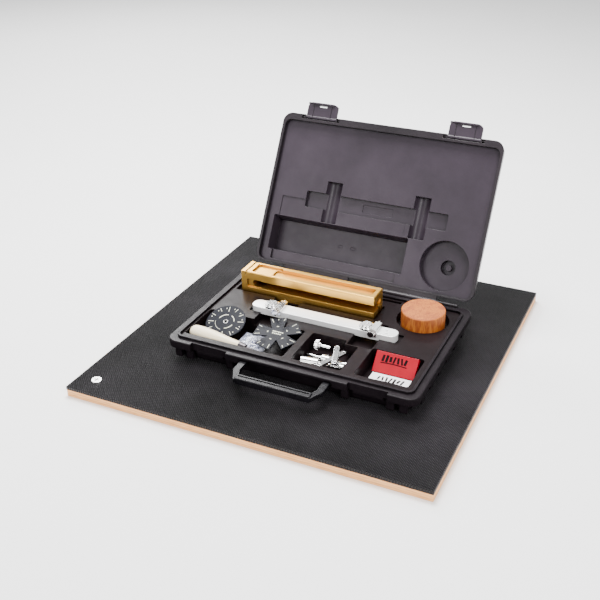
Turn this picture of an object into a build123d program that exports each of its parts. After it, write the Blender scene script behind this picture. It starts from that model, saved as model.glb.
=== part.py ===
"""Gasket cutter kit: blow-moulded tool case with its tools, standing on a cutting board.

Millimetres, +Z up, +Y towards the hinge of the case.  The origin is the middle of the
board's underside.  Heights inside the case are measured from the top of the mat.
"""
import os
from math import cos, radians, sin

from build123d import *

os.makedirs("parts", exist_ok=True)

# ---------------------------------------------------------------- driving dimensions
BOARD = 609.6           # side of the square cutting board, 24 in
CORE_THICK = 12.0       # plywood
MAT_THICK = 6.0         # rubber mat on top of it
MAT_TOP = CORE_THICK + MAT_THICK
SCREW_XY = (-271.0, -271.0)
SCREW_HEAD = 17.5       # diameter
SCREW_SHANK = 6.0

CASE_X, CASE_Y = 11.0, -15.5        # middle of the case on the board
FLANGE = (438.0, 298.0)             # widest outline of the base
BODY_TOP = (420.0, 280.0)           # base below its flange
BODY_FOOT = (408.0, 268.0)
FLANGE_LOW, PARTING = 20.5, 33.5    # underside and top of the flange
FLOOR = 3.0                         # thickness of the base's floor
CAVITY = (-203.5, 203.5, -131.5, 128.5)     # opening that the tray fills
BEAD = (-208.0, 208.0, -136.0, 133.0)       # outside of the raised bead
BEAD_WIDE, BEAD_TOP = 4.0, 37.4

TRAY_SKIN = 1.5
BIN_FLOOR = 6.5
ARM_SLOT = (-139.0, 138.5, -7.5, 20.5)
SLOT_FLOOR = 29.7
BEAM_NEST = (-197.0, 74.0, 50.0, 99.0)
NEST_FLOOR = 26.5
PUCK_NEST = (149.0, 82.5, 45.0)     # x, y, radius
PUCK_FLOOR = 18.5

HINGE_Y, HINGE_Z = 148.7, 33.7
KNUCKLE_R, PIN_R = 4.5, 1.5
RUN = 0.06                          # radial clearance of a turning pin
HINGE_END, HINGE_JOIN, HINGE_MID = 190.0, 150.0, 20.0
LID_OPEN = 120.0                    # degrees, as far as the lid goes

LID = (428.0, 286.0)
LID_Y = -6.0                        # middle of the lid, from the middle of the case
LID_GAP = 0.3
LID_RIM = PARTING + LID_GAP
LID_MOUTH = (-208.6, 208.6, -136.6, 133.6)
LID_PLANE = 42.5                    # inner panel when closed
LID_TOP = 78.0
LID_CROWN = (-204.0, 190.0, -135.0, 131.0)

LATCH_X, LATCH_HALF = 139.0, 30.5
LATCH_PIN = (-145.5, 38.2)          # y, z
LATCH_REACH = 28.0

HANDLE_HALF = 78.0
HANDLE_PIVOT = (-144.5, 24.5)       # y, z
HANDLE_DROP = 3.0                   # degrees below level, held by its stiff pivots
HANDLE_REACH = 44.5                 # pivot to middle of the grip

BEAM = (-177.0, 70.0, 54.0, 95.0)   # main body of the cutter beam, in plan
BEAM_LOW, BEAM_TOP = 26.6, 71.5
END_BLOCK = 10.0

ARM = (-136.5, 131.0)
ARM_Y, ARM_WIDE = 6.5, 25.4
ARM_LOW, ARM_TOP = 29.8, 42.4
HEADS = {"left": -100.0, "right": 76.0}
HEAD_R = 12.5
CLAMP_SHIFT, CLAMP_Z = 16.0, 45.3

PUCK = (150.5, 78.5, 37.5, 18.6, 56.5)      # x, y, radius, low, top


# ---------------------------------------------------------------- helpers
def level(height):
    """Horizontal plane this far above the mat, its origin on the case's middle."""
    return Plane(origin=(CASE_X, CASE_Y, MAT_TOP + height))


def facing_front(y):
    """Vertical plane at y, facing -Y, so its own axes are +X and +Z."""
    return Plane(origin=(CASE_X, CASE_Y + y, MAT_TOP), x_dir=(1, 0, 0), z_dir=(0, -1, 0))


def facing_side(x):
    """Vertical plane at x, facing +X, so its own axes are +Y and +Z."""
    return Plane(origin=(CASE_X + x, CASE_Y, MAT_TOP), x_dir=(0, 1, 0), z_dir=(1, 0, 0))


def slab(bounds, low, top, mode=Mode.ADD, radius=0.0):
    """Upright block over a rectangle in plan, with rounded corners if asked."""
    left, right, front, back = bounds
    with BuildSketch(level(low)) as plan:
        with Locations(((left + right) / 2, (front + back) / 2)):
            if radius:
                RectangleRounded(right - left, back - front, radius)
            else:
                Rectangle(right - left, back - front)
    extrude(plan.sketch, amount=top - low, mode=mode)


def drum(x, y, radius, low, top, mode=Mode.ADD):
    """Upright cylinder."""
    with BuildSketch(level(low)) as plan:
        with Locations((x, y)):
            Circle(radius)
    extrude(plan.sketch, amount=top - low, mode=mode)


def rod_x(start, end, y, z, radius, mode=Mode.ADD):
    """Cylinder lying along X."""
    with BuildSketch(facing_side(start)) as section:
        with Locations((y, z)):
            Circle(radius)
    extrude(section.sketch, amount=end - start, mode=mode)


def rod_y(front, back, x, z, radius, mode=Mode.ADD):
    """Cylinder lying along Y."""
    with BuildSketch(facing_front(back)) as section:
        with Locations((x, z)):
            Circle(radius)
    extrude(section.sketch, amount=back - front, mode=mode)


def tapered(low_bounds, low, top_bounds, top, radius, mode=Mode.ADD):
    """Block whose plan changes evenly from one rounded rectangle to another."""
    faces = []
    for bounds, height in ((low_bounds, low), (top_bounds, top)):
        left, right, front, back = bounds
        with BuildSketch(level(height)) as plan:
            with Locations(((left + right) / 2, (front + back) / 2)):
                RectangleRounded(right - left, back - front, radius)
        faces.append(plan.sketch.face())
    loft(faces, mode=mode)


def centred(size, y=0.0):
    """Bounds of a rectangle that is centred on the case."""
    return (-size[0] / 2, size[0] / 2, y - size[1] / 2, y + size[1] / 2)


def grown(bounds, by):
    """Bounds moved outwards on all four sides."""
    left, right, front, back = bounds
    return (left - by, right + by, front - by, back + by)


def save(builder, name, open_by=0.0):
    """Label a finished piece and write its STEP file, swung open about the case's hinge."""
    hinge = Axis((CASE_X, CASE_Y + HINGE_Y, MAT_TOP + HINGE_Z), (1, 0, 0))
    piece = builder.part.rotate(hinge, -open_by)
    piece.label = name
    export_step(piece, f"parts/{name}.step")


# ---------------------------------------------------------------- cutting board
with BuildPart() as board_core:
    with BuildSketch():
        Rectangle(BOARD, BOARD)
    extrude(amount=CORE_THICK)
    chamfer(board_core.edges().filter_by(Axis.Z), 1.0)
    with Locations((*SCREW_XY, CORE_THICK)):
        Hole(SCREW_SHANK / 2, depth=CORE_THICK - 2)
save(board_core, "board_core")

HEAD_THICK = 3.0
with BuildPart() as cutting_mat:
    with BuildSketch(Plane.XY.offset(CORE_THICK)):
        Rectangle(BOARD, BOARD)
    extrude(amount=MAT_THICK)
    chamfer(cutting_mat.faces().sort_by(Axis.Z)[-1].edges(), 0.8)
    with Locations((*SCREW_XY, MAT_TOP)):
        CounterBoreHole(SCREW_SHANK / 2, SCREW_HEAD / 2 + 0.3, HEAD_THICK)
save(cutting_mat, "cutting_mat")

with BuildPart() as board_screw:
    with BuildSketch(Plane.XY.offset(MAT_TOP - HEAD_THICK)):
        with Locations(SCREW_XY):
            Circle(SCREW_HEAD / 2)
    extrude(amount=HEAD_THICK + 1.2)
    fillet(board_screw.faces().sort_by(Axis.Z)[-1].edges(), 1.1)
    with BuildSketch(Plane.XY.offset(MAT_TOP - 0.9)):
        with Locations(SCREW_XY):
            Rectangle(9.0, 1.8)
            Rectangle(1.8, 9.0)
    extrude(amount=4.0, mode=Mode.SUBTRACT)
    with BuildSketch(Plane.XY.offset(MAT_TOP - HEAD_THICK)):
        with Locations(SCREW_XY):
            Circle(SCREW_SHANK / 2 - 0.05)
    extrude(amount=-(MAT_THICK + CORE_THICK - HEAD_THICK - 3))
save(board_screw, "board_screw")

# ---------------------------------------------------------------- base of the case
HANDLE_BAY = HANDLE_HALF + 2.5
HANDLE_ROOF = 29.2
LATCH_BAY = LATCH_HALF + 2.5
STUB_R, STUB_LONG = 2.5, 6.0
RIB_FRONTS = (-197.0, -176.0, -101.0, 101.0, 176.0, 197.0)
RIB_SIDES = (-105.0, -63.0, -21.0, 21.0, 63.0, 105.0)


def hinge_runs(lid_side):
    """Stretches of the hinge that belong to the lid, or else to the base."""
    if lid_side:
        return [(-HINGE_JOIN + 0.3, -HINGE_MID - 0.3), (HINGE_MID + 0.3, HINGE_JOIN - 0.3)]
    return [(-HINGE_END, -HINGE_JOIN), (-HINGE_MID, HINGE_MID), (HINGE_JOIN, HINGE_END)]


with BuildPart() as case_base:
    tapered(centred(BODY_FOOT), 0, centred(BODY_TOP), FLANGE_LOW, 16)
    slab(centred(FLANGE), FLANGE_LOW, PARTING, radius=18)
    fillet(case_base.faces().sort_by(Axis.Z)[-1].edges(), 1.5)
    fillet(case_base.faces().sort_by(Axis.Z)[0].edges(), 3)
    for rib_x in RIB_FRONTS:
        slab((rib_x - 6, rib_x + 6, -FLANGE[1] / 2 + 4, -BODY_FOOT[1] / 2 + 2), 4, FLANGE_LOW + 2)
    for rib_y in RIB_SIDES:
        for side in (-1, 1):
            edges_x = sorted((side * (FLANGE[0] / 2 - 4), side * (BODY_FOOT[0] / 2 - 2)))
            slab((*edges_x, rib_y - 6, rib_y + 6), 4, FLANGE_LOW + 2)
    slab((CAVITY[0], CAVITY[1], CAVITY[2], 133.0), FLOOR, 30.5, Mode.SUBTRACT, 10)
    slab(CAVITY, 30.0, PARTING, Mode.SUBTRACT, 10)
    slab(BEAD, PARTING - 1.5, BEAD_TOP, radius=12)
    slab(grown(BEAD, -BEAD_WIDE), PARTING - 3, BEAD_TOP, Mode.SUBTRACT, 9)
    # room for the handle under the flange, and the holes that its stubs turn in
    slab((-HANDLE_BAY, HANDLE_BAY, -150, -BODY_TOP[1] / 2), FLANGE_LOW - 1, HANDLE_ROOF, Mode.SUBTRACT)
    pivot_y, pivot_z = HANDLE_PIVOT
    rod_x(-HANDLE_HALF - STUB_LONG - 0.4, HANDLE_HALF + STUB_LONG + 0.4, pivot_y, pivot_z,
          STUB_R + RUN, Mode.SUBTRACT)
    # the latches swing down in front of the flange and hook under a catch
    for side in (-1, 1):
        bay = (side * LATCH_X - LATCH_BAY, side * LATCH_X + LATCH_BAY)
        slab((*bay, -150, -142.4), FLANGE_LOW - 1, PARTING + 1, Mode.SUBTRACT)
        slab((bay[0] + 8, bay[1] - 8, -142.5, -134), 16.2, FLANGE_LOW + 1)
    # hinge barrels along the back
    for start, end in hinge_runs(lid_side=True):
        slab((start - 0.6, end + 0.6, HINGE_Y - KNUCKLE_R - 0.6, 151), FLANGE_LOW - 1, PARTING + 1,
             Mode.SUBTRACT)
    for start, end in hinge_runs(lid_side=False):
        rod_x(start, end, HINGE_Y, HINGE_Z, KNUCKLE_R)
        slab((start, end, HINGE_Y - 5, HINGE_Y), FLANGE_LOW + 6, HINGE_Z)
        rod_x(start - 1, end + 1, HINGE_Y, HINGE_Z, PIN_R, Mode.SUBTRACT)
save(case_base, "case_base")

# ---------------------------------------------------------------- tray of the base
CROSS_LEFT = (-116.0, -66.0, -33.0, 52.0)
CROSS_RIGHT = (60.0, 104.0, -42.0, 40.0)
CROSS_FLOOR = 20.0
LEFT_BIN = (-200.0, -18.0, -119.0, -32.0)
HARDWARE_BIN = (-4.0, 82.0, -119.0, -32.0)
BLADE_BIN = (105.0, 194.0, -119.0, -36.0)
BACK_GROOVE = (-190.0, 96.0, 117.0, 125.0)
TRAY_POCKETS = [
    (ARM_SLOT, SLOT_FLOOR, 3),
    (CROSS_LEFT, CROSS_FLOOR, 3),
    (CROSS_RIGHT, CROSS_FLOOR, 3),
    (BEAM_NEST, NEST_FLOOR, 2),
    (LEFT_BIN, BIN_FLOOR, 4),
    (BLADE_BIN, BIN_FLOOR, 4),
    (BACK_GROOVE, PARTING - 4, 2),
]

with BuildPart() as tray_liner:
    slab(CAVITY, PARTING - 2.5, PARTING, radius=10)
    for bounds, floor, corner in TRAY_POCKETS + [(HARDWARE_BIN, BIN_FLOOR, 4)]:
        slab(grown(bounds, TRAY_SKIN), floor - TRAY_SKIN, PARTING - 1, radius=corner + TRAY_SKIN)
    slab(CAVITY, PARTING - 2.5, PARTING, Mode.ADD, 10)
    drum(PUCK_NEST[0], PUCK_NEST[1], PUCK_NEST[2] + TRAY_SKIN, PUCK_FLOOR - TRAY_SKIN, PARTING - 1)
    for bounds, floor, corner in TRAY_POCKETS:
        slab(bounds, floor, PARTING + 1, Mode.SUBTRACT, corner)
    # the hardware bin keeps a low wall where the right cross pocket meets it
    slab(HARDWARE_BIN, BIN_FLOOR, CROSS_FLOOR - TRAY_SKIN, Mode.SUBTRACT, 4)
    slab((HARDWARE_BIN[0], 58.0, HARDWARE_BIN[2], HARDWARE_BIN[3]), 12, PARTING + 1, Mode.SUBTRACT, 4)
    slab((40.0, HARDWARE_BIN[1], HARDWARE_BIN[2], -43.5), 12, PARTING + 1, Mode.SUBTRACT, 4)
    drum(PUCK_NEST[0], PUCK_NEST[1], PUCK_NEST[2], PUCK_FLOOR, PARTING + 1, Mode.SUBTRACT)
save(tray_liner, "tray_liner")

# ---------------------------------------------------------------- lid
LATCH_EAR = 37.5            # half the length of a latch pin

with BuildPart() as case_lid:
    tapered(centred(LID, LID_Y), LID_RIM, grown(centred(LID, LID_Y), -1.0), 47, 18)
    tapered(grown(centred(LID, LID_Y), -1.0), 47, LID_CROWN, LID_TOP, 18)
    fillet(case_lid.faces().sort_by(Axis.Z)[-1].edges(), 4)
    slab((-150, 136, -98, 88), LID_TOP - 1.2, LID_TOP + 1, Mode.SUBTRACT, 12)
    slab(LID_MOUTH, LID_RIM - 1, 46, Mode.SUBTRACT, 12)
    tapered(grown(LID_MOUTH, -1.5), 45.5, grown(LID_CROWN, -4.0), LID_TOP - 3.5, 12, Mode.SUBTRACT)
    pin_y, pin_z = LATCH_PIN
    for side in (-1, 1):
        middle = side * LATCH_X
        slab((middle - LATCH_HALF - 0.5, middle + LATCH_HALF + 0.5, -151, pin_y + 4.2), LID_RIM - 1, 47,
             Mode.SUBTRACT)
        for ear in (-1, 1):
            notch = middle + ear * (LATCH_HALF + 5.0)
            slab((notch - 2.5, notch + 2.5, pin_y - 1.8, pin_y + 4.2), LID_RIM - 1, pin_z + 2.5,
                 Mode.SUBTRACT)
        rod_x(middle - LATCH_EAR, middle + LATCH_EAR, pin_y, pin_z, PIN_R, Mode.SUBTRACT)
    for start, end in hinge_runs(lid_side=True):
        rod_x(start, end, HINGE_Y, HINGE_Z, KNUCKLE_R)
        slab((start, end, LID_MOUTH[3] + 1, HINGE_Y), LID_RIM + 0.2, HINGE_Z + KNUCKLE_R)
        rod_x(start - 1, end + 1, HINGE_Y, HINGE_Z, PIN_R + RUN, Mode.SUBTRACT)
save(case_lid, "case_lid", LID_OPEN)

LID_PANEL, STEP_DEEP = 3.2, 5.0
CHANNEL_R = 15.0
CHANNEL_Y = (-32.0, 45.0)
CHANNELS_X = (-86.0, 87.0)
NEST_WALLS = ((-196.0, 74.0, 45.8, 112.0), (-194.0, 72.0, 52.6, 111.0))    # rim, ceiling
NEST_CEILING = 73.2
LID_SLOT_TOP = 51.0
PUCK_CEILING = 58.0

with BuildPart() as lid_liner:
    slab(LID_MOUTH, LID_PLANE, LID_PLANE + LID_PANEL, radius=12)
    tapered(grown(NEST_WALLS[0], TRAY_SKIN), LID_PLANE, grown(NEST_WALLS[1], TRAY_SKIN),
            NEST_CEILING + 1.2, 4)
    slab(grown((ARM_SLOT[0], ARM_SLOT[1], -8.5, 21.5), TRAY_SKIN), LID_PLANE,
         LID_SLOT_TOP + TRAY_SKIN, radius=4)
    for channel_x in CHANNELS_X:
        rod_y(CHANNEL_Y[0] - TRAY_SKIN, CHANNEL_Y[1] + TRAY_SKIN, channel_x, LID_PLANE - 1,
              CHANNEL_R + TRAY_SKIN)
    drum(PUCK_NEST[0], PUCK_NEST[1], PUCK_NEST[2] + TRAY_SKIN, LID_PLANE, PUCK_CEILING + TRAY_SKIN)
    drum(153.0, 84.0, 15.0, PUCK_CEILING, 70)
    slab((-188.5, 64.5, 108.5, 131.0), LID_PLANE, LID_PLANE + STEP_DEEP + TRAY_SKIN, radius=3)
    slab((-300, 300, -300, 300), 0, LID_PLANE, Mode.SUBTRACT)
    tapered(NEST_WALLS[0], LID_PLANE - 0.01, NEST_WALLS[1], NEST_CEILING, 3, Mode.SUBTRACT)
    slab((ARM_SLOT[0], ARM_SLOT[1], -8.5, 21.5), 40, LID_SLOT_TOP, Mode.SUBTRACT, 3)
    slab((-26, 33, -1, 14), 40, LID_SLOT_TOP + 1.0, Mode.SUBTRACT, 2)
    for channel_x in CHANNELS_X:
        rod_y(*CHANNEL_Y, channel_x, LID_PLANE - 1, CHANNEL_R, Mode.SUBTRACT)
    drum(PUCK_NEST[0], PUCK_NEST[1], PUCK_NEST[2], 40, PUCK_CEILING, Mode.SUBTRACT)
    drum(153.0, 84.0, 13.5, 50, 68.5, Mode.SUBTRACT)
    drum(153.0, 84.0, 5.5, 62, 69)
    # stepped panels on both sides of the beam nest, and two marks in its ceiling
    slab((-187, 63, 110, 129.5), 40, LID_PLANE + STEP_DEEP, Mode.SUBTRACT, 2)
    slab((-187, 63, 8, 47), 40, LID_PLANE + 1.6, Mode.SUBTRACT, 2)
    for mark_x in (-63, -37):
        slab((mark_x - 4.5, mark_x + 4.5, 80, 85), 60, NEST_CEILING + 0.7, Mode.SUBTRACT, 1.5)
save(lid_liner, "lid_liner", LID_OPEN)

# ---------------------------------------------------------------- pins
PIN_CUT = 0.5
for name, ends in (("left", (-HINGE_END, -PIN_CUT)), ("right", (PIN_CUT, HINGE_END))):
    with BuildPart() as hinge_pin:
        rod_x(*ends, HINGE_Y, HINGE_Z, PIN_R)
        chamfer(hinge_pin.edges(), 0.3)
    save(hinge_pin, f"hinge_pin_{name}")

for name, side in (("left", -1), ("right", 1)):
    with BuildPart() as latch_pin:
        rod_x(side * LATCH_X - LATCH_EAR, side * LATCH_X + LATCH_EAR, *LATCH_PIN, PIN_R)
    save(latch_pin, f"latch_pin_{name}", LID_OPEN)

# ---------------------------------------------------------------- latches
LATCH_THICK = 4.0
GROOVE_AT = 18.0

for name, side in (("left", -1), ("right", 1)):
    middle = side * LATCH_X
    pin_y, pin_z = LATCH_PIN
    tip_y = pin_y - LATCH_REACH
    with BuildPart() as latch:
        rod_x(middle - LATCH_HALF, middle + LATCH_HALF, pin_y, pin_z, 3.4)
        slab((middle - LATCH_HALF, middle + LATCH_HALF, tip_y, pin_y), pin_z - 2.2, pin_z + 1.8)
        slab((middle - LATCH_HALF + 8, middle + LATCH_HALF - 8, tip_y, tip_y + 3.0), pin_z - 5, pin_z)
        # finger lip, rolled up along the free edge
        with BuildSketch(facing_side(middle - LATCH_HALF)) as lip:
            with BuildLine():
                Polyline((tip_y, pin_z - 2.2), (tip_y, pin_z + 4.6), (tip_y + 2.2, pin_z + 6.6),
                         (tip_y + 4.4, pin_z + 5.6), (tip_y + 3.6, pin_z + 1.8),
                         (tip_y + 3.6, pin_z - 2.2), close=True)
            make_face()
        extrude(lip.sketch, amount=2 * LATCH_HALF)
        slab((middle - 8, middle + 8, tip_y + 4.4, tip_y + 7.4), pin_z - 3, pin_z + 8, Mode.SUBTRACT, 1.2)
        for groove in (-1, 1):
            line_x = middle + groove * GROOVE_AT
            slab((line_x - 0.7, line_x + 0.7, tip_y + 4, pin_y + 2.6), pin_z - 3, pin_z - 1.4,
                 Mode.SUBTRACT)
        # the lip is rounded at both ends
        with BuildSketch(level(pin_z - 8)):
            with Locations((middle, tip_y + LATCH_REACH / 2 + 10)):
                RectangleRounded(2 * LATCH_HALF, LATCH_REACH + 20, 9)
        extrude(amount=20, mode=Mode.INTERSECT)
        rod_x(middle - 40, middle + 40, pin_y, pin_z, PIN_R + RUN, Mode.SUBTRACT)
    save(latch, f"latch_{name}", LID_OPEN)

# ---------------------------------------------------------------- carrying handle
pivot_y, pivot_z = HANDLE_PIVOT
drop = radians(HANDLE_DROP)
handle_plane = Plane(origin=(CASE_X, CASE_Y + pivot_y, MAT_TOP + pivot_z), x_dir=(1, 0, 0),
                     z_dir=(0, -sin(drop), cos(drop)))
ARM_THICK, GRIP_WIDE, GRIP_THICK = 7.0, 13.0, 11.0
GRIP_FAR = -HANDLE_REACH - GRIP_WIDE / 2
GRIP_NEAR = -HANDLE_REACH + GRIP_WIDE / 2

with BuildPart() as carry_handle:
    with BuildSketch(handle_plane.offset(-ARM_THICK / 2)):
        with BuildLine():
            Polyline((-HANDLE_HALF, 0), (-HANDLE_HALF, -28), (-HANDLE_HALF + 12, GRIP_FAR),
                     (HANDLE_HALF - 12, GRIP_FAR), (HANDLE_HALF, -28), (HANDLE_HALF, 0),
                     (HANDLE_HALF - 11, 0), (HANDLE_HALF - 11, -27), (HANDLE_HALF - 16, GRIP_NEAR),
                     (-HANDLE_HALF + 16, GRIP_NEAR), (-HANDLE_HALF + 11, -27),
                     (-HANDLE_HALF + 11, 0), close=True)
        make_face()
    extrude(amount=ARM_THICK)
    with BuildSketch(handle_plane.offset(-GRIP_THICK / 2)):
        with Locations((0, -HANDLE_REACH)):
            RectangleRounded(2 * HANDLE_HALF - 26, GRIP_WIDE, 3)
    extrude(amount=GRIP_THICK)
    fillet(carry_handle.edges().filter_by(Axis.X).sort_by(Axis.Z)[-2:], 1.5)
    # groove along the grip leaves the two ridges that the fingers feel
    with BuildSketch(handle_plane.offset(GRIP_THICK / 2)):
        with Locations((0, -HANDLE_REACH + 1.5)):
            SlotOverall(2 * HANDLE_HALF - 34, 2.4)
    extrude(amount=-1.6, mode=Mode.SUBTRACT)
    for side in (-1, 1):
        start, end = sorted((side * (HANDLE_HALF - 11), side * HANDLE_HALF))
        rod_x(start, end, pivot_y, pivot_z, ARM_THICK / 2 + 0.3)
        start, end = sorted((side * (HANDLE_HALF - 4), side * (HANDLE_HALF + STUB_LONG)))
        rod_x(start, end, pivot_y, pivot_z, STUB_R)
save(carry_handle, "carry_handle")

# ---------------------------------------------------------------- cutter beam
SLOT_LOW, SLOT_HIGH = PARTING + 9.0, PARTING + 23.0
SLOT_START, SLOT_DEEP = -165.0, 32.0
END_SCREWS_Y, END_SCREW_Z = (64.5, 84.5), 62.0

with BuildPart() as beam_body:
    slab(BEAM, BEAM_LOW, BEAM_TOP)
    chamfer(beam_body.faces().sort_by(Axis.Z)[-1].edges(), 1.4)
    slot_r = (SLOT_HIGH - SLOT_LOW) / 2
    slot_mid = (SLOT_HIGH + SLOT_LOW) / 2
    with BuildSketch(facing_front(BEAM[2])):
        with Locations((SLOT_START + slot_r, slot_mid)):
            Circle(slot_r)
        with Locations(((SLOT_START + slot_r + BEAM[1] + 1) / 2, slot_mid)):
            Rectangle(BEAM[1] + 1 - SLOT_START - slot_r, 2 * slot_r)
    extrude(amount=-SLOT_DEEP, mode=Mode.SUBTRACT)
    with BuildSketch(facing_front(BEAM[2])):
        with Locations((-160.0, slot_mid)):
            RectangleRounded(30.0, 2 * slot_r + 2, 3)
    extrude(amount=-3.0, mode=Mode.SUBTRACT)
    # stepped recess in the top: a wide shallow part, then the long channel
    slab((-168, -119, BEAM[2] + 5, BEAM[3] - 5), BEAM_TOP - 4, BEAM_TOP + 1, Mode.SUBTRACT, 4)
    slab((-130, 62, BEAM[2] + 10, BEAM[3] - 9), BEAM_TOP - 7, BEAM_TOP + 1, Mode.SUBTRACT, 4)
    drum(BEAM[1], 80, 4.5, BEAM_LOW - 1, SLOT_LOW + 2, Mode.SUBTRACT)
    for screw_y in END_SCREWS_Y:
        rod_x(BEAM[0] - 1, BEAM[0] + 14, screw_y, END_SCREW_Z, 2.5, Mode.SUBTRACT)
save(beam_body, "beam_body")

with BuildPart() as beam_end_block:
    slab((BEAM[0] - END_BLOCK, BEAM[0], BEAM[2], BEAM[3]), BEAM_LOW, BEAM_TOP)
    chamfer(beam_end_block.faces().sort_by(Axis.X)[0].edges(), 1.0)
    slab((BEAM[0] - 1.3, BEAM[0] + 1, BEAM[2] - 1, BEAM[3] + 1), BEAM_TOP - 8, BEAM_TOP + 1,
         Mode.SUBTRACT)
    for screw_y in END_SCREWS_Y:
        rod_x(BEAM[0] - END_BLOCK - 1, BEAM[0] - END_BLOCK + 5.5, screw_y, END_SCREW_Z, 4.6,
              Mode.SUBTRACT)
        rod_x(BEAM[0] - END_BLOCK, BEAM[0] + 1, screw_y, END_SCREW_Z, 2.7, Mode.SUBTRACT)
save(beam_end_block, "beam_end_block")

with BuildPart() as beam_end_screws:
    head_x = BEAM[0] - END_BLOCK + 0.5
    for screw_y in END_SCREWS_Y:
        rod_x(head_x, head_x + 5.0, screw_y, END_SCREW_Z, 4.4)
        rod_x(head_x + 4, BEAM[0] + 13, screw_y, END_SCREW_Z, 2.5)
        with BuildSketch(facing_side(head_x)) as socket:
            with Locations((screw_y, END_SCREW_Z)):
                RegularPolygon(2.3, 6)
        extrude(socket.sketch, amount=2.6, mode=Mode.SUBTRACT)
save(beam_end_screws, "beam_end_screws")

# ---------------------------------------------------------------- cutter arm and its heads
with BuildPart() as arm_bar:
    with BuildSketch(level(ARM_LOW)):
        with Locations(((ARM[0] + ARM[1]) / 2, ARM_Y)):
            RectangleRounded(ARM[1] - ARM[0], ARM_WIDE, 11)
        with Locations((111.5, 10.5), (113.5, 1.5)):
            Circle(1.6, mode=Mode.SUBTRACT)
    extrude(amount=ARM_TOP - ARM_LOW)
    fillet(arm_bar.faces().sort_by(Axis.Z)[-1].edges(), 0.8)
save(arm_bar, "arm_bar")

PLATE_TOP = 45.6
COLLAR_R, COLLAR_TOP, BORE_R = 10.0, 49.6, 3.2
BLOCK_HALF, BLOCK_TOP = 6.5, 48.2
CHEEK_LOW = 36.0
CLAMP_R, CLAMP_KNOB_R = 1.6, 6.2

for name, head_x in HEADS.items():
    screw_x = head_x + CLAMP_SHIFT
    front_y, back_y = ARM_Y - ARM_WIDE / 2 - 2.4, ARM_Y + ARM_WIDE / 2 + 2.4
    with BuildPart() as arm_head:
        slab((head_x - HEAD_R, screw_x, ARM_Y - HEAD_R, ARM_Y + HEAD_R), ARM_TOP + 0.1, PLATE_TOP,
             radius=10)
        slab((screw_x - BLOCK_HALF, screw_x + BLOCK_HALF, front_y, back_y), CHEEK_LOW, BLOCK_TOP)
        chamfer(arm_head.faces().sort_by(Axis.Z)[-1].edges().filter_by(Axis.Y), 1.0)
        drum(head_x, ARM_Y, COLLAR_R, PLATE_TOP - 1, COLLAR_TOP - 1.2)
        drum(head_x, ARM_Y, COLLAR_R - 1.4, PLATE_TOP - 1, COLLAR_TOP)
        slab((screw_x - 20, screw_x + 20, ARM_Y - ARM_WIDE / 2 - 0.1, ARM_Y + ARM_WIDE / 2 + 0.1),
             CHEEK_LOW - 1, ARM_TOP + 0.1, Mode.SUBTRACT)
        drum(head_x, ARM_Y, BORE_R, ARM_TOP, COLLAR_TOP + 1, Mode.SUBTRACT)
        rod_y(front_y - 1, back_y + 1, screw_x, CLAMP_Z, CLAMP_R + RUN, Mode.SUBTRACT)
    save(arm_head, f"arm_head_{name}")
    with BuildPart() as clamp_screw:
        rod_y(front_y - 9.0, front_y - 0.3, screw_x, CLAMP_Z, CLAMP_KNOB_R)
        for turn in range(12):
            angle = radians(30 * turn)
            flute_x = screw_x + (CLAMP_KNOB_R + 0.5) * cos(angle)
            flute_z = CLAMP_Z + (CLAMP_KNOB_R + 0.5) * sin(angle)
            rod_y(front_y - 12, front_y + 1, flute_x, flute_z, 1.3, Mode.SUBTRACT)
        rod_y(front_y - 1, back_y + 5, screw_x, CLAMP_Z, CLAMP_R)
        rod_y(back_y + 0.3, back_y + 3, screw_x, CLAMP_Z, 3.4)
    save(clamp_screw, f"clamp_screw_{name}")

# ---------------------------------------------------------------- wooden block
with BuildPart() as wooden_block:
    drum(PUCK[0], PUCK[1], PUCK[2], PUCK[3], PUCK[4])
    chamfer(wooden_block.edges().filter_by(GeomType.CIRCLE), 1.2)
save(wooden_block, "wooden_block")

# ---------------------------------------------------------------- awl
AWL_FROM, AWL_TO = (-198.5, -101.5, 29.0), (-102.0, -109.5, 27.0)
awl_start = Vector(CASE_X + AWL_FROM[0], CASE_Y + AWL_FROM[1], MAT_TOP + AWL_FROM[2])
awl_along = Vector(*(end - start for start, end in zip(AWL_FROM, AWL_TO)))
awl_plane = Plane(origin=awl_start, x_dir=awl_along, z_dir=awl_along.cross(Vector(0, 0, 1)))
awl_axis = Axis(awl_start, awl_along)
HANDLE_LONG, FERRULE_LONG, AWL_LONG = awl_along.length, 13.0, 152.0
NECK_R, FERRULE_R, BLADE_R = 7.0, 5.6, 2.6
TANG = 20.0

with BuildPart() as awl_handle:
    with BuildSketch(awl_plane):
        with BuildLine():
            ThreePointArc((0, 0), (2.6, 7.6), (10, 11.4))
            Spline((10, 11.4), (28, 12.2), (64, 9.6), (HANDLE_LONG, NECK_R))
            Polyline((HANDLE_LONG, NECK_R), (HANDLE_LONG, BLADE_R), (HANDLE_LONG - TANG, BLADE_R),
                     (HANDLE_LONG - TANG, 0), (0, 0))
        make_face()
    revolve(axis=awl_axis)
save(awl_handle, "awl_handle")

with BuildPart() as awl_ferrule:
    with BuildSketch(awl_plane):
        with BuildLine():
            Polyline((HANDLE_LONG, BLADE_R), (HANDLE_LONG, NECK_R), (HANDLE_LONG + 4, NECK_R),
                     (HANDLE_LONG + FERRULE_LONG, FERRULE_R), (HANDLE_LONG + FERRULE_LONG, BLADE_R),
                     close=True)
        make_face()
    revolve(axis=awl_axis)
save(awl_ferrule, "awl_ferrule")

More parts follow.
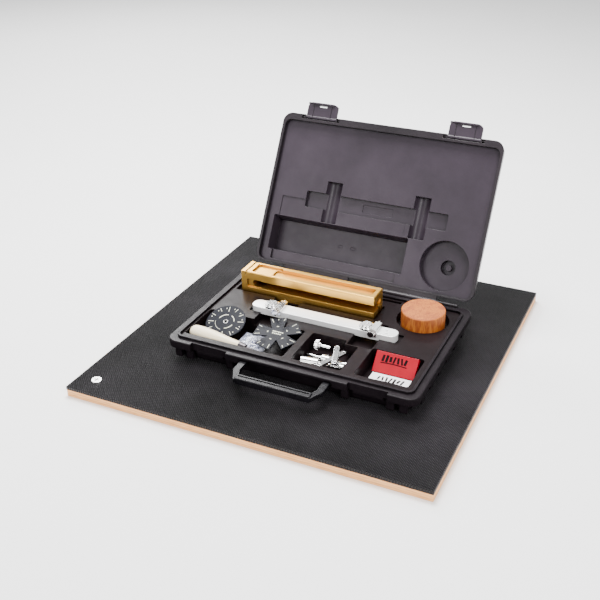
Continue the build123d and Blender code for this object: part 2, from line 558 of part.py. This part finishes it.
with BuildPart() as awl_blade:
    with BuildSketch(awl_plane):
        with BuildLine():
            Polyline((HANDLE_LONG - TANG, 0), (HANDLE_LONG - TANG, BLADE_R),
                     (HANDLE_LONG + FERRULE_LONG + 4, BLADE_R), (AWL_LONG, 0.4), (AWL_LONG, 0),
                     close=True)
        make_face()
    revolve(axis=awl_axis)
save(awl_blade, "awl_blade")

# ---------------------------------------------------------------- dial and template
DISC_AT, DISC_R, DISC_TILT = (-160.0, -52.0, 27.0), 35.0, 22.0
disc_plane = Plane(origin=(CASE_X + DISC_AT[0], CASE_Y + DISC_AT[1], MAT_TOP + DISC_AT[2]),
                   x_dir=(1, 0, 0), z_dir=(0, -sin(radians(DISC_TILT)), cos(radians(DISC_TILT))))
with BuildPart() as dial_disc:
    with BuildSketch(disc_plane):
        Circle(DISC_R)
        Circle(3.0, mode=Mode.SUBTRACT)
    extrude(amount=2.0)
save(dial_disc, "dial_disc")

STAR_AT, STAR_TILT, STAR_TURN = (-60.0, -55.0, 29.6), 10.0, 111.0
STAR_ARMS, STAR_REACH, TIP_HALF, WAIST = 5, 39.0, 15.0, 16.5
star_plane = Plane(origin=(CASE_X + STAR_AT[0], CASE_Y + STAR_AT[1], MAT_TOP + STAR_AT[2]),
                   x_dir=(1, 0, 0), z_dir=(0, -sin(radians(STAR_TILT)), cos(radians(STAR_TILT))))
star_outline = []
for arm in range(STAR_ARMS):
    turn = radians(STAR_TURN + 360 / STAR_ARMS * arm)
    for across in (-TIP_HALF, TIP_HALF):
        star_outline.append((STAR_REACH * cos(turn) - across * sin(turn),
                             STAR_REACH * sin(turn) + across * cos(turn)))
    notch = turn + radians(180 / STAR_ARMS)
    star_outline.append((WAIST * cos(notch), WAIST * sin(notch)))
with BuildPart() as star_template:
    with BuildSketch(star_plane):
        with BuildLine():
            Polyline(*star_outline, close=True)
        make_face()
        Circle(2.0, mode=Mode.SUBTRACT)
    extrude(amount=2.0)
save(star_template, "star_template")

with BuildPart() as parts_bag:
    slab((-123.5, -70, -98, -46), 6.8, 20.8, radius=8)
    fillet(parts_bag.edges().group_by(Axis.Z)[-1], 4)
save(parts_bag, "parts_bag")

# ---------------------------------------------------------------- loose cutter hardware
HOLDERS = {
    "holder_front": ((-1.5, -110.0, 15.0), 4.0, 26.0, 7.6, 70.0),
    "holder_middle": ((1.0, -90.5, 15.0), 6.0, 30.0, 8.0, 72.0),
    "holder_back": ((30.0, -71.5, 14.6), -2.0, 18.0, 7.6, 50.0),
}
for name, (start, yaw, drum_long, drum_r, total) in HOLDERS.items():
    along = Plane(origin=(CASE_X + start[0], CASE_Y + start[1], MAT_TOP + start[2]),
                  x_dir=(0, 0, 1), z_dir=(cos(radians(yaw)), sin(radians(yaw)), 0))
    with BuildPart() as holder:
        with BuildSketch(along):
            Circle(drum_r)
        extrude(amount=drum_long)
        chamfer(holder.edges().filter_by(GeomType.CIRCLE), 0.9)
        with BuildSketch(along.offset(drum_long)):
            Circle(3.4)
        extrude(amount=total - drum_long)
        with BuildSketch(along.offset(total - 8)):
            Circle(4.6)
        extrude(amount=8)
    save(holder, name)

KNOB_AT = (9.0, -50.0, 24.0)
with BuildPart() as thumb_screw:
    rod_x(KNOB_AT[0], KNOB_AT[0] + 6, KNOB_AT[1], KNOB_AT[2], 8.5)
    for turn in range(16):
        angle = radians(22.5 * turn)
        rod_x(KNOB_AT[0] - 1, KNOB_AT[0] + 7, KNOB_AT[1] + 8.9 * cos(angle),
              KNOB_AT[2] + 8.9 * sin(angle), 1.0, Mode.SUBTRACT)
    rod_x(KNOB_AT[0] + 5, KNOB_AT[0] + 9, KNOB_AT[1], KNOB_AT[2], 5.5)
    rod_x(KNOB_AT[0] + 8, KNOB_AT[0] + 26, KNOB_AT[1], KNOB_AT[2], 2.8)
save(thumb_screw, "thumb_screw")

LINKS = {
    "link_bar_long": ((52.0, -84.0, 24.4), 66.0, 62.0, 9.0),
    "link_bar_short": ((57.0, -78.0, 29.4), 108.0, 54.0, 9.0),
}
for name, (middle, yaw, long, wide) in LINKS.items():
    flat = Plane(origin=(CASE_X + middle[0], CASE_Y + middle[1], MAT_TOP + middle[2]),
                 x_dir=(cos(radians(yaw)), sin(radians(yaw)), 0), z_dir=(0, 0, 1))
    with BuildPart() as link:
        with BuildSketch(flat):
            SlotOverall(long, wide)
            with Locations((-long / 2 + wide / 2, 0), (long / 2 - wide / 2, 0)):
                Circle(2.0, mode=Mode.SUBTRACT)
        extrude(amount=4.2)
        fillet(link.faces().sort_by(Axis.Z)[-1].edges(), 0.8)
    save(link, name)

with BuildPart() as centre_pin:
    rod_x(0.0, 44.0, -62.5, 9.4, 2.4)
    rod_x(0.0, 7.0, -62.5, 9.4, 2.8)
save(centre_pin, "centre_pin")

# ---------------------------------------------------------------- cartons of blades
RED_SIZE, RED_LEAN = (71.0, 35.0, 9.0), 48.0
RED_TOP_EDGE = (151.5, -46.5, 39.0)
lean = radians(RED_LEAN)
red_plane = Plane(origin=(CASE_X + RED_TOP_EDGE[0], CASE_Y + RED_TOP_EDGE[1], MAT_TOP + RED_TOP_EDGE[2]),
                  x_dir=(1, 0, 0), z_dir=(0, -sin(lean), cos(lean)))
with BuildPart() as carton_red:
    with BuildSketch(red_plane):
        with Locations((0, -RED_SIZE[1] / 2)):
            Rectangle(RED_SIZE[0], RED_SIZE[1])
    extrude(amount=-RED_SIZE[2])
    fillet(carton_red.edges(), 0.6)
save(carton_red, "carton_red")

with BuildPart() as carton_white:
    slab((119.0, 186.0, -117.0, -72.0), 6.8, 13.5)
    fillet(carton_white.edges(), 0.6)
save(carton_white, "carton_white")
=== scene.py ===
"""Looks of the gasket cutter kit: materials, printed marks, the film bag, light and camera."""
import random
from math import cos, pi, radians, sin, tau

import bmesh
import bpy
from mathutils import Matrix, Vector, noise


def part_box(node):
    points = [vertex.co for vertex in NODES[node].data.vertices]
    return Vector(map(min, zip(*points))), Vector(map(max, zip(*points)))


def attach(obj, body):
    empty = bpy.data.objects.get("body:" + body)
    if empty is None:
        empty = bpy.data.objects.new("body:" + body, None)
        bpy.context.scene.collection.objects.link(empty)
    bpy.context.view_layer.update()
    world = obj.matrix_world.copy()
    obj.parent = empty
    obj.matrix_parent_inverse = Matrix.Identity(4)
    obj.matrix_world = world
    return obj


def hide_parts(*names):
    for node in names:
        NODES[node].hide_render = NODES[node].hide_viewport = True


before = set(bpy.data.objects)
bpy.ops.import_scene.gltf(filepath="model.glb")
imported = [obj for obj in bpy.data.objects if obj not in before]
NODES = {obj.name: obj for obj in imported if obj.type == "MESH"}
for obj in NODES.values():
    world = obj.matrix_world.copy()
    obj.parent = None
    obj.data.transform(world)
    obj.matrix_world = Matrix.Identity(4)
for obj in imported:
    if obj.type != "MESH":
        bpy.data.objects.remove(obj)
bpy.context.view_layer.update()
MM = 0.001

# where the case and its flat tools lie, in metres; the tools are measured from the case
CASE = Vector((0.011, -0.0155, 0.018))
DISC_AT, DISC_R, DISC_TILT = Vector((-0.160, -0.052, 0.027)), 0.035, radians(22)
STAR_AT, STAR_TILT, STAR_TURN = Vector((-0.060, -0.055, 0.0296)), radians(10), radians(111)
STAR_REACH = 0.039
CARD_THICK = 0.002
PRINT = 0.00012             # thickness of a printed mark


# ---------------------------------------------------------------- materials
class Shader:
    """A principled material and the few nodes that vary it over the surface."""

    def __init__(self, name, colour, rough, metal=0.0, **sockets):
        self.mat = bpy.data.materials.new(name)
        self.mat.use_nodes = True
        self.tree = self.mat.node_tree
        self.bsdf = self.tree.nodes["Principled BSDF"]
        self.set("Base Color", (*colour, 1.0))
        self.set("Roughness", rough)
        self.set("Metallic", metal)
        for socket, value in sockets.items():
            self.set(socket.replace("_", " "), value)
        self.coords = self.tree.nodes.new("ShaderNodeTexCoord").outputs["Object"]

    def set(self, socket, value):
        self.bsdf.inputs[socket].default_value = value

    def feed(self, socket, value):
        """Link another node's output into a socket, or set the socket to a plain value."""
        if isinstance(value, bpy.types.NodeSocket):
            self.tree.links.new(value, socket)
        else:
            socket.default_value = value

    def node(self, kind, **inputs):
        made = self.tree.nodes.new("ShaderNode" + kind)
        for key, value in inputs.items():
            self.feed(made.inputs[key.replace("_", " ")], value)
        return made

    def place(self, scale):
        """Object coordinates in metres, stretched."""
        mapping = self.node("Mapping", Vector=self.coords)
        mapping.inputs["Scale"].default_value = scale
        return mapping.outputs["Vector"]

    def noise(self, scale, detail=4.0, rough=0.55, stretch=(1, 1, 1), twist=0.0):
        made = self.node("TexNoise", Vector=self.place(stretch), Scale=scale, Detail=detail,
                         Roughness=rough, Distortion=twist)
        return made.outputs["Fac"]

    def ramp(self, factor, *stops):
        """Colour or grey ramp: stops are (position, colour or grey)."""
        made = self.node("ValToRGB", Fac=factor)
        elements = made.color_ramp.elements
        while len(elements) < len(stops):
            elements.new(0.5)
        for element, (at, colour) in zip(elements, stops):
            element.position = at
            grey = isinstance(colour, (int, float))
            element.color = (colour, colour, colour, 1) if grey else (*colour, 1)
        return made.outputs["Color"]

    def math(self, operation, one, two=0.0):
        made = self.tree.nodes.new("ShaderNodeMath")
        made.operation = operation
        for socket, value in zip(made.inputs, (one, two)):
            self.feed(socket, value)
        return made.outputs[0]

    def axis(self, letter):
        return self.node("SeparateXYZ", Vector=self.coords).outputs[letter]

    def blend(self, kind, factor, one, two):
        made = self.tree.nodes.new("ShaderNodeMix")
        made.data_type, made.blend_type = "RGBA", kind
        for key, value in (("Factor", factor), ("A", one), ("B", two)):
            self.feed(made.inputs[key], value)
        return made.outputs["Result"]

    def paint(self, socket, value):
        self.tree.links.new(value, self.bsdf.inputs[socket])

    def worn_edges(self, radius):
        """Normal that rounds every sharp edge by this radius, in metres."""
        made = self.node("Bevel", Radius=radius)
        made.samples = 4
        return made.outputs["Normal"]

    def corners(self, reach, shade):
        """Painted shade: colour that falls from white to a shade in corners and recesses."""
        made = self.node("AmbientOcclusion", Distance=reach)
        made.samples = 8
        return self.ramp(made.outputs["AO"], (0.25, shade), (0.80, (1.0, 1.0, 1.0)))

    def bump(self, height, strength, distance, normal=None):
        made = self.node("Bump", Strength=strength, Distance=distance, Height=height)
        if normal is not None:
            self.tree.links.new(normal, made.inputs["Normal"])
        self.tree.links.new(made.outputs["Normal"], self.bsdf.inputs["Normal"])
        return made.outputs["Normal"]


def moulded_plastic(name, low, high, rough, grain=1.0, sheen=0.30):
    """Dark blow-moulded plastic: leather grain, soft sheen, dust and flow marks, and painted shade
    in corners and recesses.
    """
    s = Shader(name, low, rough, Specular_IOR_Level=sheen)
    tone = s.noise(9.0, 5.0, 0.6)
    streaks = s.noise(14.0, 3.0, stretch=(1.0, 0.16, 0.3))
    marks = s.math("ADD", tone, s.math("MULTIPLY", streaks, 0.35))
    tint = s.ramp(marks, (0.42, low), (0.88, high))
    # painted shade: the base colour is darkened in corners and recesses
    s.paint("Base Color", s.blend("MULTIPLY", 1.0, tint, s.corners(0.007, (0.05, 0.05, 0.05))))
    s.paint("Roughness", s.ramp(s.noise(60.0, 4.0), (0.3, rough - 0.03), (0.75, rough + 0.06)))
    fine = s.bump(s.noise(900.0, 3.0), 0.16 * grain, 0.0006, s.worn_edges(0.0011))
    s.bump(s.noise(120.0, 3.0), 0.10 * grain, 0.0012, fine)
    return s.mat


def brushed(name, colour, dark, rough, along=(1, 1, 1), metal=1.0, scratch=0.10, painted_corner_shade=None,
            edge=0.0006):
    """Machined or polished metal: fine lines along one axis, faint stains, and optional painted
    shade in corners and recesses.
    """
    s = Shader(name, colour, rough, metal)
    lines = s.noise(420.0, 4.0, stretch=along)
    stain = s.noise(26.0, 4.0)
    both = s.math("MULTIPLY", s.math("ADD", lines, stain), 0.5)
    tint = s.ramp(both, (0.34, dark), (0.58, colour))
    # painted shade: the base colour is darkened in corners and recesses
    if painted_corner_shade:
        tint = s.blend("MULTIPLY", 1.0, tint, s.corners(0.020, painted_corner_shade))
    s.paint("Base Color", tint)
    s.paint("Roughness", s.ramp(lines, (0.3, rough * 0.95), (0.7, rough * 1.06)))
    s.bump(lines, scratch, 0.0001, s.worn_edges(edge))
    return s.mat


def wood(name, light, dark, rough, stretch=(1, 1, 0.12), twist=2.0):
    """Turned wood with growth rings and pores."""
    s = Shader(name, light, rough)
    warp = s.noise(18.0, 3.0, stretch=stretch, twist=twist)
    lines = s.noise(360.0, 4.0, stretch=stretch)
    mix = s.math("ADD", s.math("MULTIPLY", warp, 0.65), s.math("MULTIPLY", lines, 0.4))
    s.paint("Base Color", s.ramp(mix, (0.40, dark), (0.50, light), (0.56, dark), (0.64, light)))
    s.paint("Roughness", s.ramp(lines, (0.3, rough), (0.7, rough + 0.15)))
    s.bump(lines, 0.12, 0.0004)
    return s.mat


def plywood():
    """Board core: thin plies on the sides, long grain on the faces."""
    ply = 0.0040
    s = Shader("plywood", (0.80, 0.53, 0.33), 0.6)
    plies = s.math("PINGPONG", s.math("MULTIPLY", s.axis("Z"), 1.0 / ply), 0.5)
    grain = s.noise(60.0, 5.0, stretch=(1, 1, 9))
    mix = s.math("ADD", s.math("MULTIPLY", plies, 0.5), s.math("MULTIPLY", grain, 0.75))
    s.paint("Base Color", s.ramp(mix, (0.30, (0.62, 0.27, 0.085)), (0.55, (0.84, 0.42, 0.155)),
                                 (0.80, (0.94, 0.54, 0.24))))
    s.bump(grain, 0.25, 0.0005)
    return s.mat


def embossed_rubber():
    """Mat: small raised diamonds in rows, with painted shade in the hollows, painted highlight on
    the raised diamonds, and patchy wear.
    """
    pitch = 0.0042
    s = Shader("embossed_rubber", (0.006, 0.005, 0.006), 0.42, Specular_IOR_Level=0.20)
    waves = [s.math("SINE", s.math("MULTIPLY", s.axis(letter), tau / pitch)) for letter in "XY"]
    height = s.math("MULTIPLY", *waves)
    worn = s.noise(5.0, 4.0, 0.6)
    # painted shade and highlight: colour follows the diamonds' height, mixed with patchy wear
    relief_light_and_wear = s.math("ADD", s.math("MULTIPLY", height, 0.32), s.math("MULTIPLY", worn, 0.8))
    s.paint("Base Color", s.ramp(relief_light_and_wear, (0.20, (0.001, 0.001, 0.001)), (0.45, (0.005, 0.004, 0.005)),
                                 (0.80, (0.050, 0.044, 0.052))))
    s.paint("Roughness", s.ramp(s.noise(11.0, 3.0), (0.35, 0.36), (0.7, 0.50)))
    fine = s.bump(s.noise(700.0, 2.0), 0.12, 0.0004)
    s.bump(height, 1.0, 0.0016, fine)
    return s.mat


def speckled(name, colour, fleck, rough):
    """Dark glossy plastic sheet with small flecks and scuffs."""
    s = Shader(name, colour, rough, Specular_IOR_Level=0.13)
    s.paint("Base Color", s.ramp(s.noise(240.0, 3.0), (0.50, colour), (0.74, fleck)))
    s.paint("Roughness", s.ramp(s.noise(45.0, 4.0), (0.35, rough), (0.7, rough + 0.2)))
    s.bump(s.noise(90.0, 3.0), 0.15, 0.0004)
    return s.mat


def coated_card(name, colour, shade):
    """Printed carton board under a clear varnish."""
    s = Shader(name, colour, 0.3, Specular_IOR_Level=0.25)
    s.paint("Base Color", s.ramp(s.noise(35.0, 4.0), (0.3, shade), (0.7, colour)))
    s.bump(s.noise(420.0, 3.0), 0.08, 0.0003)
    return s.mat


def film():
    """Clear plastic film of the bag, lighter where it creases, with painted glints and reflections
    in its colour.
    """
    s = Shader("film", (0.86, 0.87, 0.95), 0.12, Specular_IOR_Level=0.6)
    crease = s.noise(75.0, 5.0, 0.6, twist=1.5)
    s.paint("Alpha", s.ramp(crease, (0.36, 0.16), (0.55, 0.42), (0.66, 0.85)))
    # painted glints and reflections: the film's colour runs in blotches from dark blue to near
    # white
    s.paint("Base Color", s.ramp(s.noise(60.0, 3.0), (0.35, (0.22, 0.24, 0.42)),
                                 (0.62, (0.86, 0.88, 1.0))))
    s.bump(crease, 0.5, 0.001)
    return s.mat


def ink(name, colour):
    """Printed or painted marks."""
    s = Shader(name, colour, 0.5, Specular_IOR_Level=0.12)
    worn = tuple(0.72 * part for part in colour)
    s.paint("Base Color", s.ramp(s.noise(300.0, 3.0), (0.35, worn), (0.6, colour)))
    return s.mat


case_shell = moulded_plastic("case_shell", (0.003, 0.002, 0.003), (0.010, 0.007, 0.009),
                             0.34, sheen=0.12)
case_inner = moulded_plastic("case_inner", (0.003, 0.002, 0.002), (0.010, 0.006, 0.007),
                             0.32, 0.8, 0.09)
# lid inside: a lighter copy of the case plastic, its raised base colour is painted sheen
lid_inner_painted_sheen = moulded_plastic("lid_inner_painted_sheen", (0.017, 0.012, 0.0175), (0.034, 0.025, 0.035),
                            0.33, 0.8, 0.22)
lid_shell = moulded_plastic("lid_shell", (0.008, 0.006, 0.008), (0.020, 0.015, 0.019),
                            0.34, sheen=0.24)
hard_black = moulded_plastic("hard_black", (0.003, 0.003, 0.004), (0.008, 0.007, 0.009),
                             0.27, 0.6, 0.14)
# gold: painted shade darkens its corners and recesses
gold = brushed("gold_anodised", (0.88, 0.50, 0.105), (0.86, 0.48, 0.095), 0.30,
               along=(0.03, 1, 1), metal=0.90, scratch=0.004, painted_corner_shade=(0.16, 0.09, 0.05), edge=0.0012)
chrome = brushed("bright_chrome", (0.93, 0.93, 0.92), (0.86, 0.86, 0.86), 0.10, scratch=0.02)
satin_chrome = brushed("satin_chrome", (0.99, 0.99, 0.99), (0.96, 0.96, 0.96), 0.22,
                       along=(0.05, 1, 1), metal=0.35, scratch=0.02)
steel = brushed("plain_steel", (0.70, 0.69, 0.68), (0.55, 0.54, 0.53), 0.30)
dark_steel = brushed("dark_steel", (0.10, 0.09, 0.095), (0.03, 0.026, 0.03), 0.38)
block_wood = wood("block_wood", (0.46, 0.135, 0.012), (0.24, 0.045, 0.003), 0.50)
awl_wood = wood("awl_wood", (0.95, 0.83, 0.62), (0.88, 0.73, 0.48), 0.26,
                stretch=(0.08, 1, 1), twist=0.6)
disc_card = speckled("disc_card", (0.0006, 0.0012, 0.005), (0.003, 0.004, 0.013), 0.26)
star_card = speckled("star_card", (0.0006, 0.0010, 0.004), (0.003, 0.004, 0.011), 0.26)
red_card = coated_card("red_card", (0.36, 0.0, 0.013), (0.30, 0.0, 0.010))
white_card = coated_card("white_card", (0.92, 0.92, 0.92), (0.84, 0.84, 0.85))
white_ink = ink("white_ink", (0.80, 0.80, 0.66))
black_ink = ink("black_ink", (0.0012, 0.0006, 0.0009))
clear_film = film()

LOOKS = {
    plywood(): ["board_core"],
    embossed_rubber(): ["cutting_mat"],
    steel: ["board_screw", "beam_end_screws"],
    chrome: ["arm_head_left", "arm_head_right", "clamp_screw_left", "clamp_screw_right",
             "holder_front", "holder_middle", "holder_back", "thumb_screw", "link_bar_long",
             "link_bar_short", "centre_pin"],
    satin_chrome: ["arm_bar"],
    case_shell: ["case_base"],
    case_inner: ["tray_liner"],
    lid_shell: ["case_lid"],
    lid_inner_painted_sheen: ["lid_liner", "latch_left", "latch_right"],
    hard_black: ["carry_handle"],
    gold: ["beam_body", "beam_end_block"],
    block_wood: ["wooden_block"],
    awl_wood: ["awl_handle"],
    dark_steel: ["awl_ferrule", "awl_blade", "hinge_pin_left", "hinge_pin_right",
                 "latch_pin_left", "latch_pin_right"],
    disc_card: ["dial_disc"],
    star_card: ["star_template"],
    red_card: ["carton_red"],
    white_card: ["carton_white"],
}
for look, names in LOOKS.items():
    for name in names:
        slots = NODES[name].data.materials
        slots.clear()
        slots.append(look)


# ---------------------------------------------------------------- mesh helpers
def piece(name, bm, look, body, smooth=False):
    """Turn a bmesh into a named piece that rides on a body."""
    bmesh.ops.recalc_face_normals(bm, faces=bm.faces)
    mesh = bpy.data.meshes.new(name)
    bm.to_mesh(mesh)
    bm.free()
    mesh.materials.append(look)
    if smooth:
        mesh.shade_smooth()
    made = bpy.data.objects.new(name, mesh)
    bpy.context.scene.collection.objects.link(made)
    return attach(made, body)


def plate(bm, outline, low, high, place):
    """Thin prism over an outline, set by a placing matrix."""
    rings = []
    for height in (low, high):
        rings.append([bm.verts.new(place @ Vector((x, y, height))) for x, y in outline])
    count = len(outline)
    bm.faces.new(list(reversed(rings[0])))
    bm.faces.new(rings[1])
    for k in range(count):
        after = (k + 1) % count
        bm.faces.new((rings[0][k], rings[0][after], rings[1][after], rings[1][k]))


def stroke(bm, start, end, wide, low, high, place):
    """Straight printed stroke from one point to another."""
    along = (Vector(end) - Vector(start)).normalized()
    side = Vector((-along.y, along.x)) * wide / 2
    a, b = Vector(start), Vector(end)
    plate(bm, [a - side, b - side, b + side, a + side], low, high, place)


def arc(bm, radius, wide, start, end, low, high, place, steps=12):
    """Printed arc between two angles."""
    inner, outer = radius - wide / 2, radius + wide / 2
    angles = [start + (end - start) * k / steps for k in range(steps + 1)]
    ring = [(outer * cos(a), outer * sin(a)) for a in angles]
    ring += [(inner * cos(a), inner * sin(a)) for a in reversed(angles)]
    plate(bm, ring, low, high, place)


def tilted(at, tilt):
    """Placing matrix of a flat tool lying in the tray, its back raised by the tilt."""
    return Matrix.Translation(CASE + at) @ Matrix.Rotation(tilt, 4, "X")


# ---------------------------------------------------------------- dial and star marks
dial = bmesh.new()
on_disc = tilted(DISC_AT, DISC_TILT)
top, skin = CARD_THICK, CARD_THICK + PRINT      # under and upper side of a mark on a flat tool
TICKS = 12
for k in range(TICKS):
    angle = radians(360 // TICKS * k + 12)
    ray = Vector((cos(angle), sin(angle)))
    near = 0.70 if k % 3 else 0.62
    stroke(dial, ray * DISC_R * near, ray * DISC_R * 0.92, 0.0009, top, skin, on_disc)
    aside = Vector((cos(angle + 0.17), sin(angle + 0.17)))
    stroke(dial, aside * DISC_R * 0.80, aside * DISC_R * 0.86, 0.0012, top, skin, on_disc)
for start, end in ((95, 165), (15, 70), (-75, -15)):
    arc(dial, DISC_R * 0.42, 0.0013, radians(start), radians(end), top, skin, on_disc)
arc(dial, DISC_R * 0.52, 0.0005, radians(190), radians(265), top, skin, on_disc)
piece("dial_marks", dial, white_ink, "dial")

hub = bmesh.new()
# section of the eyelet, as radius and height in millimetres
EYELET = [(3.0, 0.0), (3.0, 2.1), (3.3, 2.4), (3.8, 2.4),
          (4.1, 2.1), (4.1, 2.0), (3.3, 2.0), (3.3, 0.0)]
EYELET_STEPS = 32
for k in range(EYELET_STEPS):
    turn = Matrix.Rotation(tau * k / EYELET_STEPS, 4, "Z")
    after = Matrix.Rotation(tau * (k + 1) / EYELET_STEPS, 4, "Z")
    for (r0, h0), (r1, h1) in zip(EYELET, EYELET[1:]):
        corners = [turn @ Vector((r0, 0, h0)), turn @ Vector((r1, 0, h1)),
                   after @ Vector((r1, 0, h1)), after @ Vector((r0, 0, h0))]
        hub.faces.new([hub.verts.new(on_disc @ (c * MM)) for c in corners])
bmesh.ops.remove_doubles(hub, verts=hub.verts, dist=1e-6)
piece("dial_eyelet", hub, steel, "dial", smooth=True)

star = bmesh.new()
on_star = tilted(STAR_AT, STAR_TILT)
STAR_POINTS = 5
for k in range(STAR_POINTS):
    angle = STAR_TURN + tau * k / STAR_POINTS
    out = Vector((cos(angle), sin(angle)))
    side = Vector((-out.y, out.x))
    for across, near, far in ((-0.0112, 0.80, 0.95), (0.0, 0.86, 0.94), (0.0112, 0.72, 0.95)):
        start = out * STAR_REACH * near + side * across * near
        end = out * STAR_REACH * far + side * across
        stroke(star, start, end, 0.0008, top, skin, on_star)
    middle, half = out * 0.017, side * 0.0018
    stroke(star, middle - half, middle + half, 0.0014, top, skin, on_star)
for row in range(2):
    for k in range(6 - row):
        left = -0.0095 + 0.0034 * k + 0.0012 * row
        high = 0.0032 - 0.0048 * row
        stroke(star, (left, high), (left + 0.0024, high), 0.0022, top, skin, on_star)
piece("star_marks", star, white_ink, "template")

# ---------------------------------------------------------------- carton prints
random.seed(5)
RED_LEAN, RED_TOP = radians(48), CASE + Vector((0.1515, -0.0465, 0.0390))
on_red = Matrix.Translation(RED_TOP) @ Matrix.Rotation(RED_LEAN, 4, "X")
on_white = Matrix.Translation(CASE + Vector((0.1525, -0.0945, 0.0135)))


def label(name, place, middle, wide, body):
    """Generic print of a carton: a row of upright bars over a swung line."""
    bm = bmesh.new()
    bars, points = 7, 9
    line_drop, line_rise, line_wide = 0.0078, 0.0010, 0.0016
    for k in range(bars):
        x = middle[0] - wide / 2 + wide * (k + 0.5) / bars
        tall = 0.0042 + 0.0018 * random.random()
        lean = 0.0012 * random.uniform(-1, 1)
        thick = 0.0028 + 0.0016 * random.random()
        stroke(bm, (x - lean, middle[1] - tall), (x + lean, middle[1] + tall), thick, 0, PRINT,
               place)
    for k in range(points):
        x0 = middle[0] + wide * (k / points - 0.5)
        x1 = middle[0] + wide * ((k + 1) / points - 0.5)
        y0 = middle[1] - line_drop + line_rise * sin(pi * k / points)
        y1 = middle[1] - line_drop + line_rise * sin(pi * (k + 1) / points)
        stroke(bm, (x0, y0), (x1, y1), line_wide, 0, PRINT, place)
    piece(name, bm, black_ink, body)


label("red_carton_marks", on_red, (-0.003, -0.0105), 0.044, "red_pack")
label("white_carton_marks", on_white, (0.001, 0.0105), 0.046, "white_pack")

# ---------------------------------------------------------------- bag of small parts
bag_low, bag_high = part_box("parts_bag")
BAG_COLS, BAG_ROWS = 36, 40
SEAM_HEIGHT = 0.0050        # of the bag's welded edge above its underside
bag = bmesh.new()


def bag_point(u, v, side):
    """A point of the bag's upper (1) or lower (-1) wall; u and v run from 0 to 1."""
    x = bag_low.x + (bag_high.x - bag_low.x) * u
    y = bag_low.y + (bag_high.y - bag_low.y) * v
    rim = min(u, 1 - u, v, 1 - v) * 2
    swell = min(1.0, rim * 2.4) ** 0.6
    broad = noise.noise(Vector((x * 55, y * 55, 3.0 * side)))
    fold = broad + 0.5 * noise.noise(Vector((x * 130, y * 90, 9)))
    middle = bag_low.z + SEAM_HEIGHT
    if side > 0:
        height = middle + swell * (0.0045 + 0.0042 * fold)
    else:
        height = middle - swell * (0.0040 + 0.0008 * fold)
    return Vector((x, y, min(max(height, bag_low.z + 0.0002), bag_high.z)))


walls = {}
for side in (1, -1):
    for i in range(BAG_COLS + 1):
        for j in range(BAG_ROWS + 1):
            edge = i in (0, BAG_COLS) or j in (0, BAG_ROWS)
            key = (i, j, 1 if edge else side)
            if key not in walls:
                walls[key] = bag.verts.new(bag_point(i / BAG_COLS, j / BAG_ROWS, side))
    for i in range(BAG_COLS):
        for j in range(BAG_ROWS):
            corners = []
            for a, b in ((i, j), (i + 1, j), (i + 1, j + 1), (i, j + 1)):
                edge = a in (0, BAG_COLS) or b in (0, BAG_ROWS)
                corners.append(walls[(a, b, 1 if edge else side)])
            bag.faces.new(corners)
film_bag = piece("film_bag", bag, clear_film, "bag", smooth=True)
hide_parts("parts_bag")

inside = bmesh.new()
SCREWS = 7
for k in range(SCREWS):
    at = Matrix.Translation((bag_low.x + 0.009 + 0.0045 * k,
                             bag_low.y + 0.012 + 0.0052 * (k * 3 % 5), bag_low.z + 0.0048))
    turn = Matrix.Rotation(radians(47 * k), 4, "Z") @ Matrix.Rotation(radians(88), 4, "Y")
    # shank, then head, in millimetres along the screw
    for low, high, radius, taper in ((-6, 3.5, 1.3, 1.2), (3.5, 6, 2.3, 1.9)):
        offset = Matrix.Translation((0, 0, (low + high) / 2 * MM))
        bmesh.ops.create_cone(inside, cap_ends=True, segments=16, radius1=radius * MM,
                              radius2=taper * MM, depth=(high - low) * MM,
                              matrix=at @ turn @ offset)
piece("bag_contents", inside, chrome, "bag")

# ---------------------------------------------------------------- floor, light, camera
bpy.ops.mesh.primitive_plane_add(size=12.0, location=(0, 0, 0))
floor = bpy.context.object
floor.name = "floor"
paper = Shader("floor_paper", (0.93, 0.93, 0.93), 0.9)
paper.paint("Base Color", paper.ramp(paper.noise(3.0), (0.3, 0.92), (0.7, 0.94)))
floor.data.materials.append(paper.mat)

world = bpy.data.worlds.new("studio")
bpy.context.scene.world = world
world.use_nodes = True
world.node_tree.nodes["Background"].inputs["Color"].default_value = (1.0, 1.0, 1.0, 1.0)
world.node_tree.nodes["Background"].inputs["Strength"].default_value = 0.80


def softbox(name, at, aim, size, power):
    """Large rectangular lamp pointed at a place; its power is in watts."""
    lamp = bpy.data.lights.new(name, "AREA")
    lamp.shape, lamp.size, lamp.size_y = "RECTANGLE", *size
    lamp.energy = power
    made = bpy.data.objects.new(name, lamp)
    bpy.context.scene.collection.objects.link(made)
    made.location = at
    made.rotation_mode = "QUATERNION"
    made.rotation_quaternion = (Vector(aim) - Vector(at)).to_track_quat("-Z", "Y")


softbox("top_light", (-0.35, 0.45, 1.9), (0, 0, 0), (1.1, 0.9), 115)
softbox("front_light", (-0.95, -1.95, 1.20), (0, 0.15, 0.12), (1.1, 1.1), 24)
softbox("side_light", (1.6, -1.2, 1.7), (0, 0, 0), (1.0, 1.0), 50)
softbox("back_light", (-1.75, 1.9, 1.75), (-0.2, -0.15, 0), (1.0, 1.0), 70)

CAMERA_AT, CAMERA_AIM = Vector((0.5641, -1.2291, 0.8428)), Vector((-0.0602, 0.1687, 0.018))
camera = bpy.data.cameras.new("camera")
camera.sensor_width, camera.lens = 36.0, 54.9
camera.shift_x, camera.shift_y = -0.049, -0.0228
camera.clip_start, camera.clip_end = 0.05, 50
shooter = bpy.data.objects.new("camera", camera)
bpy.context.scene.collection.objects.link(shooter)
shooter.location = CAMERA_AT
shooter.rotation_mode = "QUATERNION"
shooter.rotation_quaternion = (CAMERA_AIM - CAMERA_AT).to_track_quat("-Z", "Y")
bpy.context.scene.camera = shooter
